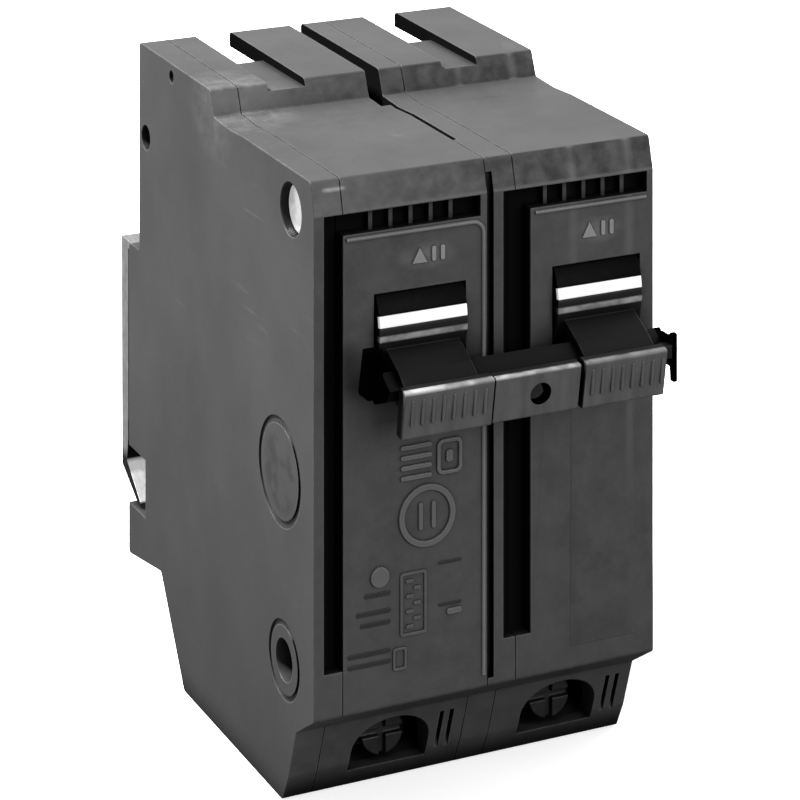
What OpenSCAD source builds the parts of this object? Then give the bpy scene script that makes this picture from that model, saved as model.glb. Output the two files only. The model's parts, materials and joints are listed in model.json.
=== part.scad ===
// Two-pole plug-in moulded-case circuit breaker with tied handles.
// Row frame: X to the right when facing the handles, -Y out of the front
// face, +Z up to the line end. x = 0 is the seam between the poles and
// z = 0 the load end; the Y axis starts at the middle of the flat load end.
//
// Pole frame, used to draw the parts: x = 0 is the left side of the pole,
// and y = 0 the line of the jaw mouths. Each pole is a thin cover on the left
// and a deep base on the right. Pole 0 is the left one and pole 1 the right.

/* [Case] */
// Width of one pole (the panel pitch)
pole_w = 25.4; // [25.4:0.1:26]
// Depth from the front plane to the line of the jaw mouths
body_d = 62; // [61:0.5:66]
// How far the back plane stands behind that line
back_d = 2; // [0:0.1:2.2]
// Height of the flat top above the load end
body_h = 84.8; // [84.8:0.1:86]
// Height of the raised rear prongs above the flat top
fin_h = 3.6; // [3:0.1:4.4]
// Thickness of the rear prongs
prong_t = 2.2; // [1.6:0.1:2.6]
// Thickness of the outer side walls
wall = 2.0; // [1.6:0.1:2.4]
// Gap left between mating case shells
gap = 0.05; // [0.02:0.01:0.1]

/* [Front grooves] */
// Depth of the dark grooves beside and above each front panel
groove_d = 2.4; // [1.5:0.1:2.6]
// Height of the cross groove above each panel
groove_h = 2.8; // [2:0.1:3.2]
// Number of small posts that divide the cross groove
groove_posts = 5; // [3:1:6]

/* [Handle] */
// Radius of the handle drum
drum_r = 8.2; // [7.8:0.1:8.3]
// Width of each handle
handle_w = 12.9; // [12:0.1:13]
// Angle of the handle below straight out when it is off
off_deg = 29.5; // [26:0.5:29.5]
// Radius of the handle pivot pin
pivot_r = 1.5; // [1.2:0.1:1.8]
// Radial running clearance of the pivots
run_c = 0.05; // [0.02:0.01:0.08]

/* [Terminals] */
// Radius of the wire entry in the load end
wire_r = 3.3; // [2.5:0.1:3.6]
// Width of the arched screw opening
arch_w = 11.5; // [10:0.1:12]
// Height of the arched screw opening
arch_h = 7.4; // [6.5:0.1:7.8]
// Radius of the terminal screw's thread
screw_r = 2.1; // [1.8:0.1:2.3]

/* [Springs] */
// Turns of each toggle spring
spring_turns = 11; // [8:1:13]
// Wire radius of each toggle spring
spring_wire = 0.26; // [0.2:0.01:0.3]

/* [Hidden] */
$fn = 48;
overlap = 0.01;  // sink of one solid into the next
fit = 0.02;      // radial clearance of fixed pins and rivets
past_x = 26.4;   // cuts end here, clear of the right side of a pole
past_y = 8;      // and here, clear of the back
past_z = body_h + 8;  // and here, clear of the top

// [y, z] of a point given by its depth behind the front plane
// and its rise above the flat top
function spot(depth, rise) = [depth - body_d, body_h + rise];
function spots(table) = [for (p = table) spot(p[0], p[1])];

// Shared places. Pairs are [y, z] unless marked; single values are pole x.
front_y = -body_d;
load_end = [10.4, 46.1];             // depths where the flat load end starts and stops
datum_y = body_d - (load_end[0] + load_end[1])/2;
part_x = 4.2;                        // parting plane between cover and base
inner_x = pole_w - wall;             // inner face of the base's side wall
handle_axis = spot(7, -20.5);
arm_axis = spot(21, -22.8);
cradle_axis = spot(28, -12.8);
trip_axis = spot(9.5, -33.3);
armature_axis = spot(13.3, -60.3);
handle_x = [9.0, 10.1];              // left edge of the handle in each pole
terminal = [14.6, 6.3];              // [x, z] of the terminal screw
arm_x = [11.2, 13.2];                // sides of the contact arm
contact_x = (arm_x[0] + arm_x[1])/2;
contact_z = 38;                      // height of the contacts when closed
pin_r = 1.2;                         // contact arm and cradle pins
trip_r = 1.8;                        // trip bar
trip_bore_r = trip_r + run_c;
pivot_bore_r = pivot_r + fit;
pin_bore_r = pin_r + fit;

// Rivets, upper then lower
rivet_axis = [spot(7.6, -5.4), spot(9.8, -66)];
rivet_r = [1.7, 1.4];
rivet_head_r = [3.3, 2.5];
rivet_column_r = [3.1, 2.7];
rivet_column_left_r = [4.2, 3.5];    // in the left pole's cover
recess_d = [1.9, 2.9];               // head recess in the left pole's cover
function rivet_bore_r(k) = rivet_r[k] + fit;
function recess_r(k) = rivet_head_r[k] + 0.3;

// ---- helpers ----
function unit(v) = v / norm(v);

// outline with every corner rounded to radius r by an arc of n steps
function rounded(points, r, n = 4) = let (count = len(points)) [
  for (i = [0:count-1]) let (
    corner = points[i],
    before = points[(i + count - 1) % count] - corner,
    after = points[(i + 1) % count] - corner,
    half = acos(max(-1, min(1, unit(before)*unit(after)))) / 2,
    cut = min(r / tan(half), 0.45*min(norm(before), norm(after))),
    arc_r = cut * tan(half),
    centre = corner + unit(unit(before) + unit(after)) * (arc_r / sin(half)),
    start = corner + unit(before)*cut - centre,
    stop = corner + unit(after)*cut - centre,
    angle = atan2(start[1], start[0]),
    turn = atan2(stop[1], stop[0]) - angle,
    sweep = turn > 180 ? turn - 360 : (turn < -180 ? turn + 360 : turn)
  ) for (j = [0:n]) centre + arc_r*[cos(angle + sweep*j/n), sin(angle + sweep*j/n)]];

module place() translate([0, datum_y, 0]) children();
module in_pole(i) place() translate([(i - 1)*pole_w, 0, 0]) children();

// a [y, z] outline extruded from x0 to x1
module slab(x0, x1, outline)
  translate([x0, 0, 0]) rotate([90, 0, 90]) linear_extrude(x1 - x0) polygon(outline);
module box(x0, x1, y0, y1, z0, z1)
  translate([x0, y0, z0]) cube([x1 - x0, y1 - y0, z1 - z0]);
// rods along X with a [y, z] centre, and along Y with an [x, z] centre
module rod_x(x0, x1, centre, r)
  translate([x0, centre[0], centre[1]]) rotate([0, 90, 0]) cylinder(h = x1 - x0, r = r);
module rod_y(y0, y1, centre, r)
  translate([centre[0], y0, centre[1]]) rotate([-90, 0, 0]) cylinder(h = y1 - y0, r = r);
module tube_x(x0, x1, centre, r, bore_r) difference() {
  rod_x(x0, x1, centre, r);
  rod_x(x0 - 1, x1 + 1, centre, bore_r);
}

// ---- case outlines, as [depth, rise] ----
foot_depth = body_d + 4.3 + back_d;
back_depth = body_d + back_d;
case_outline = rounded(spots([
  [1.2, 0], [0, -4.4], [0, -70.3], [5.8, -74], [8.4, -81],
  [load_end[0], -body_h], [load_end[1], -body_h], [55.2, -71.2],
  [foot_depth, -73.3], [foot_depth, -27.2], [back_depth, -27.2], [back_depth, fin_h],
  [36.2, fin_h - 0.2], [34.7, -0.1], [29, -0.35], [24, -0.05]]), 0.6, 3);
// mechanism cavity
floor_rise = 2.2 - body_h;
cavity = spots([
  [4, -2.4], [4, -67.8], [9, -72.2], [11.2, -72.2], [11.2, floor_rise], [44, floor_rise],
  [52.2, -70.3], [56.5, -65.8], [56.5, -54.8], [58.8, -52.3], [58.8, -26.8],
  [42.8, -26.8], [42.8, -2.4]]);

// ---- pockets shared by both shells of a pole ----
prong_slot_x = [[8.7, 14.4], [10.6, 16.2]];  // slot between the prongs in each pole
groove_x = [1.5, 2.4];    // left edge of the grooves in each pole
panel_x = [4.2, 6.5];     // left edge of the front panel in each pole
groove_top = body_h - 4.5;

module chamber_cut(i) {
  slot = prong_slot_x[i];
  // stab chamber, open at the back, and the slot between the prongs
  box(wall, inner_x, -17, past_y, body_h - 24.8, body_h + fin_h - prong_t);
  box(slot[0], slot[1], -10.8, past_y, body_h - 8, past_z);
  box(slot[0], slot[1], -27.6, -10.7, body_h + fin_h - 1.3, past_z);
  // strap passage between cavity and stab chamber
  box(9.0, 15.2, -20, -16.9, body_h - 24.3, body_h - 18.8);
  // gap between the prongs at the pole seam
  seam = i == 0 ? [23.9, past_x] : [-1, 0.6];
  box(seam[0], seam[1], -31.5, past_y, body_h - 2.6, past_z);
  // narrow groove along the seam on top
  if (i == 1) box(-1, 0.6, -51.5, -31, body_h - 1, past_z);
}

// upright groove left of the panel, cross groove above it
module front_grooves(i) {
  box(groove_x[i], panel_x[i], front_y - 1, front_y + groove_d, body_h - 64.4, groove_top);
  box(groove_x[i], 24.4, front_y - 1, front_y + groove_d, groove_top - groove_h, groove_top);
}

module rail_slot() box(-1, past_x, -2.5 + back_d, past_y, body_h - 65.8, body_h - 57.3);

// ---- case base ----
pivot_bore_end = 24.6;
cradle_bore_end = 24.85;
handle_side = 0.3;        // room round the handle
post_x = [8.4, 9.0];      // first groove post in each pole
post_pitch = 2.95;
post_w = 0.6;
// ribs on the side wall: x0, y0, y1, z0, z1
ribs = [
  [21.1, -45, -38.2, body_h - 57.8, body_h - 50.8],  // yoke
  [18.7, -42.6, -39.6, 12.6, 17.2],                  // load strap
  [17.1, -28.5, -26.5, 14.6, 26.2],                  // arc chute
  [17.1, -15.5, -13.5, 14.6, 26.2],
  [14.1, -18.6, -12.2, body_h - 31.6, body_h - 27],  // line strap
  [14.1, -10.3, -3.1, 34, 44]];

// flat-bottomed opening that rises from z = 0 and is centred on x = 0
module arch(w, h) polygon(concat(
  [[-w/2, 0]],
  [for (k = [0:16]) [-w/2*cos(k*180/16), h*0.42 + h*0.58*sin(k*180/16)]],
  [[w/2, 0]]));

// openings for the wire, the screw and the arc gas at the load end
module load_end_cuts() {
  translate([terminal[0], -50.6, 2.6]) rotate([90, 0, 0]) linear_extrude(14)
    arch(arch_w, arch_h);
  translate([terminal[0], -37, -1]) cylinder(h = 4, r = wire_r);
  // upright slots beside the terminal opening
  for (k = [0:1]) box(21.5 + 1.5*k, 22.1 + 1.5*k, -60, -53.4, 1.8, 9.2);
  // arc vents
  for (k = [0:2]) box(8.6 + 3*k, 9.9 + 3*k, -27.5, -21.5, -1, 3);
}

module handle_room(i) {
  x0 = handle_x[i] - handle_side;
  x1 = handle_x[i] + handle_w + handle_side;
  box(x0, x1, front_y - 1, front_y + 5, handle_axis[1] - 6.5, handle_axis[1] + 4.9);
  rod_x(x0, x1, handle_axis, drum_r + 0.3);
}

module case_base(i) color([0.13, 0.13, 0.135]) {
  difference() {
    slab(part_x + gap, pole_w - gap, case_outline);
    slab(part_x - 1, inner_x, cavity);
    chamber_cut(i);
    front_grooves(i);
    rail_slot();
    handle_room(i);
    load_end_cuts();
    // trip bar: window through the middle wall, blind bearing in the outer wall
    rod_x(inner_x - 1, i == 0 ? past_x : pole_w - 0.8, trip_axis, trip_bore_r);
    rod_x(inner_x - 1, pivot_bore_end, handle_axis, pivot_bore_r);
    rod_x(inner_x - 1, cradle_bore_end, cradle_axis, pin_bore_r);
    for (k = [0, 1]) {
      rod_x(4, past_x, rivet_axis[k], rivet_bore_r(k));
      if (i == 1) rod_x(pole_w - 1.5, past_x, rivet_axis[k], recess_r(k));
    }
  }
  for (k = [0:groove_posts-1]) let (x = post_x[i] + k*post_pitch)
    box(x, x + post_w, front_y + 1.2, front_y + groove_d + overlap,
      groove_top - groove_h - overlap, groove_top + overlap);
  // rivet columns
  for (k = [0, 1])
    tube_x(part_x + gap, inner_x + overlap, rivet_axis[k], rivet_column_r[k], rivet_bore_r(k));
  // pivot bosses
  tube_x(handle_x[i] + handle_w + 0.25, inner_x + overlap, handle_axis, 3, pivot_bore_r);
  tube_x(19.2, inner_x + overlap, cradle_axis, 2.6, pin_bore_r);
  for (rib = ribs) box(rib[0], inner_x + overlap, rib[1], rib[2], rib[3], rib[4]);
}
module case_base_left() in_pole(0) case_base(0);
module case_base_right() in_pole(1) case_base(1);

// ---- case cover ----
cover_bore_x = 1.2;       // blind end of the pin bores
mark_axis = spot(11.3, -41.4);

// rivet head recesses, round marks and two shallow holes in the left side
module left_face_cuts() {
  for (k = [0, 1]) rod_x(-1, recess_d[k], rivet_axis[k], recess_r(k));
  tube_x(-1, 0.3, mark_axis, 7.2, 6.3);
  tube_x(-1, 0.3, rivet_axis[1], 5.2, 4.5);
  rod_x(-1, 1.1, [back_d - 2.7, body_h - 9.8], 1.8);
  rod_x(-1, 0.5, [-11, body_h + 1.6], 0.9);
}

module case_cover(i) color([0.14, 0.14, 0.145]) {
  difference() {
    slab(gap, part_x - gap, case_outline);
    slab(wall, part_x + 1, cavity);
    chamber_cut(i);
    front_grooves(i);
    rail_slot();
    // the trip bar's bearing is blind in the left pole and open in the right
    rod_x(i == 0 ? wall - 0.9 : -1, past_x, trip_axis, trip_bore_r);
    rod_x(cover_bore_x, past_x, handle_axis, pivot_bore_r);
    rod_x(cover_bore_x, past_x, arm_axis, pin_bore_r);
    for (k = [0, 1]) rod_x(-1, past_x, rivet_axis[k], rivet_bore_r(k));
    // seam relief along the front edge between the poles
    if (i == 1) box(-1, 0.95, front_y - 1, front_y + 1.2, 15.5, body_h - 1.8);
    if (i == 0) left_face_cuts();
  }
  // rivet columns; the lower head recess of the left pole runs on into its column
  for (k = [0, 1]) difference() {
    tube_x(wall - overlap, part_x - gap, rivet_axis[k],
      i == 0 ? rivet_column_left_r[k] : rivet_column_r[k], rivet_bore_r(k));
    if (i == 0 && k == 1) rod_x(-1, recess_d[k], rivet_axis[k], recess_r(k));
  }
  // pivot bosses
  tube_x(wall - overlap, handle_x[i] - 0.25, handle_axis, 3, pivot_bore_r);
  tube_x(wall - overlap, 10.8, arm_axis, 2.6, pin_bore_r);
}
module case_cover_left() in_pole(0) case_cover(0);
module case_cover_right() in_pole(1) case_cover(1);

// ---- rivets and rail clips ----
// distances in from the left side of the case, upper then lower rivet
shank_start = [1.5, 2.0];
left_head = [[1.2, 1.85], [2.1, 2.85]];

module through_rivets() color([0.75, 0.75, 0.76]) place() for (k = [0, 1]) {
  rod_x(-pole_w + shank_start[k], pole_w - 0.9, rivet_axis[k], rivet_r[k]);
  rod_x(-pole_w + left_head[k][0], -pole_w + left_head[k][1], rivet_axis[k], rivet_head_r[k]);
  rod_x(pole_w - 1.45, pole_w - 0.7, rivet_axis[k], rivet_head_r[k]);
}

// a folded spring strip hooked over the top of the foot, its tail in the rail slot
rail_clip_outline = spots([
  [body_d + 4.35, -27.5], [body_d + 8.7, -27.5], [body_d + 8.4, -61.5],
  [body_d + 1.5, -65.4], [body_d + 0.8, -64.7], [body_d + 6.4, -60.4],
  [body_d + 5.9, -57], [body_d + 5.9, -28.6], [body_d + 4.35, -28.6]]);
module rail_clip() color([0.8, 0.8, 0.8])
  translate([0, back_d, 0]) slab(0.5, pole_w - 0.5, rail_clip_outline);
module rail_clip_left() in_pole(0) rail_clip();
module rail_clip_right() in_pole(1) rail_clip();

// ---- handles ----
// drawn about the pivot pointing straight out, then turned down to the off position
lobe_x = 13.9;            // lobe that carries the toggle spring
lobe_w = 2.6;
lobe_reach = 8.8;
lobe_r = 1.2;
lobe_deg = -40;

module at_off() translate([0, handle_axis[0], handle_axis[1]]) rotate([off_deg, 0, 0])
  children();
module at_paddle() translate([0, -17, 0]) rotate([-21.5, 0, 0]) children();

// ring sector in front of the pivot, angles up from straight out
function arc(r, from, to) = [
  for (k = [0:8]) let (a = from + (to - from)*k/8) r*[-cos(a), sin(a)]];
function fan(r0, r1, from, to) = concat(arc(r1, from, to), arc(r0, to, from));

// cross-section of the tie bar, grown on every side
function tie_section(grow) = [
  [-10.8 + grow, 1 + grow], [-14 - grow, 1 + grow],
  [-14 - grow, -1 - grow], [-10.8 + grow, -1 - grow]];

module handle(i) color([0.09, 0.09, 0.095]) translate([handle_x[i], 0, 0]) at_off()
difference() {
  union() {
    rod_x(0, handle_w, [0, 0], drum_r, $fn = 96);
    // neck
    slab(1.1, handle_w - 1.1, [
      [-5, 1.9], [-8, 1.9], [-12, 2.1], [-16.6, 1.7],
      [-16.6, -1.7], [-12, -2.1], [-8, -1.9], [-5, -1.9]]);
    at_paddle() slab(0, handle_w - (i == 1 ? 0.6 : 0),
      rounded([[-1, 3.3], [-0.7, -3.3], [1.0, -3.3], [1.1, 3.3]], 0.35, 3));
    translate([lobe_x - handle_x[i], 0, 0]) rotate([lobe_deg, 0, 0]) {
      slab(0, lobe_w, [
        [6, 1.9], [lobe_reach, lobe_r], [lobe_reach, -lobe_r], [6, -1.9]]);
      rod_x(0, lobe_w, [lobe_reach, 0], lobe_r);
    }
  }
  rod_x(-1, handle_w + 1, [0, 0], pivot_r + run_c);
  // slot for the tie bar
  slab(-1, handle_w + 1, tie_section(0.1));
  // groove for the flag
  slab(-1, handle_w + 1, fan(drum_r - 0.6, drum_r + 1, 34, 45));
}
module handle_left() in_pole(0) handle(0);
module handle_right() in_pole(1) handle(1);

module handle_flags() color([0.97, 0.97, 0.96]) for (i = [0, 1])
  in_pole(i) translate([handle_x[i], 0, 0]) at_off()
    slab(0.05, handle_w - 0.05, fan(drum_r - 0.55, drum_r + 0.02, 34.3, 44.7));

// ---- handle tie, in the row frame's x ----
tie_x0 = -pole_w + handle_x[0];         // left side of the left handle
tie_x1 = handle_x[1] + handle_w;        // right side of the right handle
between_x0 = tie_x0 + handle_w;         // right side of the left handle
between_x1 = handle_x[1];               // left side of the right handle

module handle_tie() color([0.07, 0.07, 0.075]) place() at_off() difference() {
  union() {
    slab(tie_x0 - 2.4, tie_x1 + 1.75, tie_section(0));
    // end plate that hangs down at the left
    rotate([-off_deg, 0, 0]) slab(tie_x0 - 4.1, tie_x0 - 2,
      rounded([[-11.7, -0.1], [-13.6, -0.1], [-13.6, -6.5], [-10.2, -6.5]], 0.4, 3));
    // web and paddle between the handles
    slab(between_x0 + 1, between_x1 - 1.6,
      [[-13.9, 1.0], [-16.8, 1.0], [-16.8, -1.0], [-13.9, -1.0]]);
    at_paddle() slab(between_x0 + 0.25, between_x1 - 0.7,
      rounded([[-0.9, 3.2], [-0.6, -3.2], [1.0, -3.2], [1.1, 3.2]], 0.35, 3));
  }
  at_paddle() rod_y(-3, 4, [3.6, 0], 1.5);
}

module handle_tie_clip() color([0.09, 0.09, 0.09]) place() at_off() difference() {
  rotate([-off_deg, 0, 0]) {
    slab(tie_x1 + 0.85, tie_x1 + 1.5, [
      [-11.2, -4.5], [-13.2, -4.5], [-14.4, -3.7], [-15.2, -3.7],
      [-15.2, -10.2], [-14.3, -10.2], [-14.1, -8.4], [-11.2, -8.4]]);
    slab(tie_x1 - 0.45, tie_x1 + 0.9,
      [[-13.2, -5.3], [-15, -5.3], [-15, -7], [-13.2, -7]]);
  }
  slab(tie_x1 - 1, tie_x1 + 3, tie_section(0.05));
}

// ---- pins ----
module pins(x0, x1, axis, r) color("silver") for (i = [0, 1])
  in_pole(i) rod_x(x0, x1, axis, r);
module handle_pivot_pins() pins(1.3, 24.5, handle_axis, pivot_r);
module contact_arm_pins() pins(1.3, 13.9, arm_axis, pin_r);
module cradle_pins() pins(16.9, 24.7, cradle_axis, pin_r);

// ---- contact arm: drawn closed about its pivot, then swung open ----
arm_swing = 17;
peg_offset = [7.0, -12.5];       // spring peg from the pivot, when open
tip_y = -15.8 - arm_axis[0];
tip_z = contact_z - arm_axis[1];

module arm_frame()
  translate([0, arm_axis[0], arm_axis[1]]) rotate([-arm_swing, 0, 0]) children();

module contact_arm() color([0.72, 0.45, 0.25]) arm_frame() difference() {
  union() {
    rod_x(11.0, 13.5, [0, 0], 2.6);
    slab(arm_x[0], arm_x[1], [
      [-1.9, -0.5], [1.4, 1.9], [tip_y - 0.6, tip_z + 6.6], [tip_y + 0.8, tip_z + 3.6],
      [tip_y + 0.8, tip_z - 3.5], [tip_y - 0.8, tip_z - 3.5],
      [tip_y - 0.9, tip_z + 2.6], [8, -12.6]]);
    // spring peg
    rotate([arm_swing, 0, 0]) rod_x(12.9, 17, peg_offset, 0.95);
  }
  rod_x(9, 17, [0, 0], pin_r + run_c);
}
module contact_arm_left() in_pole(0) contact_arm();
module contact_arm_right() in_pole(1) contact_arm();

module moving_contact() color([0.85, 0.85, 0.86]) arm_frame()
  rod_y(tip_y + 0.85, tip_y + 2.3, [contact_x, tip_z], 2);
module moving_contact_left() in_pole(0) moving_contact();
module moving_contact_right() in_pole(1) moving_contact();

// ---- toggle spring, from the handle's lobe down to the arm's peg ----
spring_from = handle_axis + lobe_reach*[cos(off_deg + lobe_deg), sin(off_deg + lobe_deg)];
spring_run = arm_axis + peg_offset - spring_from;
coil_start = 1.9;         // from the lobe to the first turn
coil_less = 3.9;          // what the coil is shorter than the run

// coil about Z: wire section of `sides` points, `steps` sections per turn
function helix_points(coil_r, thick_r, pitch, turns, sides, steps) = [
  for (k = [0:turns*steps]) for (j = [0:sides-1])
    let (a = k*360/steps, b = j*360/sides, reach = coil_r + thick_r*cos(b))
      [reach*cos(a), reach*sin(a), pitch*k/steps + thick_r*sin(b)]];
module helix(coil_r, thick_r, pitch, turns, sides = 6, steps = 14) polyhedron(
  points = helix_points(coil_r, thick_r, pitch, turns, sides, steps),
  faces = concat(
    [[for (j = [sides-1:-1:0]) j]],
    [[for (j = [0:sides-1]) turns*steps*sides + j]],
    [for (k = [0:turns*steps-1]) for (j = [0:sides-1]) let (next = (j + 1) % sides)
      [k*sides + j, k*sides + next, (k + 1)*sides + next, (k + 1)*sides + j]]),
  convexity = 12);

module toggle_spring() color([0.7, 0.7, 0.72])
  translate([lobe_x + lobe_w/2, spring_from[0], spring_from[1]])
    rotate([atan2(-spring_run[0], spring_run[1]), 0, 0]) translate([0, 0, coil_start])
      helix(1.35, spring_wire, (norm(spring_run) - coil_less)/spring_turns, spring_turns);
module toggle_spring_left() in_pole(0) toggle_spring();
module toggle_spring_right() in_pole(1) toggle_spring();

// ---- cradle and trip bar ----
cradle_tip = [-47.6, 53];

module cradle() color([0.6, 0.6, 0.62]) difference() {
  union() {
    rod_x(17.2, 19.0, cradle_axis, 2.6);
    slab(17.3, 18.9, [
      cradle_axis + [-2.3, 1.0], cradle_axis + [0.6, -2.4],
      cradle_tip + [1.6, -0.6], cradle_tip + [0.2, -1.2],
      cradle_tip + [-1.0, -0.6], cradle_tip + [-0.9, 1.0]]);
  }
  rod_x(16, 20, cradle_axis, pin_r + run_c);
}
module cradle_left() in_pole(0) cradle();
module cradle_right() in_pole(1) cradle();

// one bar through both poles, with a hanging tab and a ledge in each
module trip_bar() color([0.55, 0.18, 0.12]) {
  y = trip_axis[0];
  z = trip_axis[1];
  place() rod_x(-pole_w + wall - 0.8, pole_w - 0.9, trip_axis, trip_r);
  for (i = [0, 1]) in_pole(i) {
    box(12, 17, y + 1.0, y + 1.9, z - 5, z);
    box(17.2, 19.4, y, y + 2.9, z - 0.2, z + 1.1);
  }
}

// ---- line side ----
jaw_x = 11.9;             // centre of the line jaw

module fixed_contacts() color([0.85, 0.85, 0.86]) for (i = [0, 1])
  in_pole(i) rod_y(-13.4, -12.05, [contact_x, contact_z], 2.3);

module line_strap() color([0.72, 0.42, 0.24]) slab(9.9, 13.9, [
  [-12, 33], [-12, body_h - 29.8], [-20.9, body_h - 29.8], [-20.9, body_h - 20.8],
  [-16.95, body_h - 20.8], [-16.95, body_h - 12.5], [-15.85, body_h - 12.5],
  [-15.85, body_h - 22.2], [-19.5, body_h - 22.2], [-19.5, body_h - 28.4],
  [-10.5, body_h - 28.4], [-10.5, 33]]);
module line_strap_left() in_pole(0) line_strap();
module line_strap_right() in_pole(1) line_strap();

// U-shaped jaw with flared mouth at the back, as [x, y] about its centre
module line_jaw() color([0.72, 0.42, 0.24])
  translate([jaw_x, 0, body_h - 21.8]) linear_extrude(16) polygon([
    [-2.2, -15.75], [2.2, -15.75], [2.2, -4.6], [2.9, -2.6], [1.9, -2.6], [1.1, -4.9],
    [1.1, -14.6], [-1.1, -14.6], [-1.1, -4.9], [-1.9, -2.6], [-2.9, -2.6], [-2.2, -4.6]]);
module line_jaw_left() in_pole(0) line_jaw();
module line_jaw_right() in_pole(1) line_jaw();

// flat strips, one on each side of each jaw
module jaw_springs() color([0.7, 0.7, 0.7]) for (i = [0, 1])
  in_pole(i) translate([jaw_x, 0, body_h - 17.8]) for (s = [-1, 1])
    linear_extrude(8) polygon([
      [s*2.25, -15.7], [s*2.75, -15.7], [s*2.75, -9], [s*2.75, -5.2], [s*2.25, -5.2]]);

// ---- arc chute ----
chute_y = [-30, -11];
chute_side_x = [8.2, 16.2];
chute_side_t = 0.8;
plate_pitch = 2.4;

module arc_chute_frame() color([0.75, 0.72, 0.65]) for (x = chute_side_x)
  box(x, x + chute_side_t, chute_y[0], chute_y[1], 14.4, 27.4);
module arc_chute_frame_left() in_pole(0) arc_chute_frame();
module arc_chute_frame_right() in_pole(1) arc_chute_frame();

// five plates, each with a tapered notch in its front edge
module arc_plates() color([0.5, 0.5, 0.52]) for (k = [0:4]) difference() {
  box(chute_side_x[0] + chute_side_t + 0.05, chute_side_x[1] - 0.05,
    chute_y[0], chute_y[1], 15.4 + plate_pitch*k, 16.3 + plate_pitch*k);
  translate([12.6, chute_y[0] - 0.5, 15 + plate_pitch*k]) linear_extrude(2)
    polygon([[-2.4, -1], [2.4, -1], [0.7, 9], [-0.7, 9]]);
}
module arc_plates_left() in_pole(0) arc_plates();
module arc_plates_right() in_pole(1) arc_plates();

// ---- trip unit ----
armature_pin_r = 1.0;

module magnet_yoke() color([0.45, 0.45, 0.47]) difference() {
  union() {
    box(9.0, 21.0, -39.5, -38, 26, 35);
    // side cheeks and the ears that hold the armature
    for (x = [9.0, 19.8]) {
      box(x, x + 1.2, -46.5, -39, 26, 35);
      box(x, x + 1.2, -50.3, -46, 23, 28);
    }
  }
  rod_x(8, 22, armature_axis, armature_pin_r + run_c);
}
module magnet_yoke_left() in_pole(0) magnet_yoke();
module magnet_yoke_right() in_pole(1) magnet_yoke();

module armature() color([0.5, 0.5, 0.52]) {
  box(10.4, 19.6, armature_axis[0] - 0.6, armature_axis[0] + 0.6, armature_axis[1] - 1, 50);
  rod_x(8.8, 21.2, armature_axis, armature_pin_r);
}
module armature_left() in_pole(0) armature();
module armature_right() in_pole(1) armature();

module bimetal() color([0.66, 0.6, 0.5]) box(11.6, 17.6, -42.75, -41.7, 11.2, 46);
module bimetal_left() in_pole(0) bimetal();
module bimetal_right() in_pole(1) bimetal();

// half loop of round braid with a block at each end
module braid() color([0.75, 0.4, 0.2]) {
  translate([15.1, -35.3, 42.5]) rotate([0, 90, 0]) rotate([0, 0, -90])
    rotate_extrude(angle = 180, $fn = 64) translate([5.3, 0]) circle(r = 0.9, $fn = 24);
  box(14.2, 16.0, -41.6, -39.9, 42.4, 45.4);
  box(13.3, 16.0, -30.9, -29.2, 42.4, 45);
}
module braid_left() in_pole(0) braid();
module braid_right() in_pole(1) braid();

// ---- load side ----
module load_strap() color([0.72, 0.42, 0.24]) box(10.6, 18.6, -41.6, -40.4, 2.9, 18);
module load_strap_left() in_pole(0) load_strap();
module load_strap_right() in_pole(1) load_strap();

// box open at top and bottom, with the screw's hole in front
module terminal_cage() color([0.7, 0.7, 0.72]) difference() {
  box(8.6, 20.6, -46.2, -32.2, 2.4, 10.2);
  box(10.0, 19.2, -43.8, -33.6, 1, 12);
  rod_y(-48, -43, terminal, screw_r + 0.05);
}
module terminal_cage_left() in_pole(0) terminal_cage();
module terminal_cage_right() in_pole(1) terminal_cage();

// cross-slotted screw
module terminal_screw() color([0.75, 0.75, 0.76]) difference() {
  union() {
    rod_y(-50, -41.75, terminal, screw_r);
    rod_y(-51.9, -49.5, terminal, 3.1);
  }
  for (half = [[4, 0.45], [0.45, 4]])
    box(terminal[0] - half[0], terminal[0] + half[0], -53, -51.1,
      terminal[1] - half[1], terminal[1] + half[1]);
}
module terminal_screw_left() in_pole(0) terminal_screw();
module terminal_screw_right() in_pole(1) terminal_screw();

case_base_left();
case_base_right();
case_cover_left();
case_cover_right();
through_rivets();
rail_clip_left();
rail_clip_right();
handle_left();
handle_right();
handle_flags();
handle_tie();
handle_tie_clip();
handle_pivot_pins();
contact_arm_pins();
cradle_pins();
contact_arm_left();
contact_arm_right();
moving_contact_left();
moving_contact_right();
toggle_spring_left();
toggle_spring_right();
cradle_left();
cradle_right();
trip_bar();
fixed_contacts();
line_strap_left();
line_strap_right();
line_jaw_left();
line_jaw_right();
jaw_springs();
arc_chute_frame_left();
arc_chute_frame_right();
arc_plates_left();
arc_plates_right();
magnet_yoke_left();
magnet_yoke_right();
armature_left();
armature_right();
bimetal_left();
bimetal_right();
braid_left();
braid_right();
load_strap_left();
load_strap_right();
terminal_cage_left();
terminal_cage_right();
terminal_screw_left();
terminal_screw_right();
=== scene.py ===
import bpy, bmesh, json, math
from mathutils import Vector, Matrix


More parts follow.
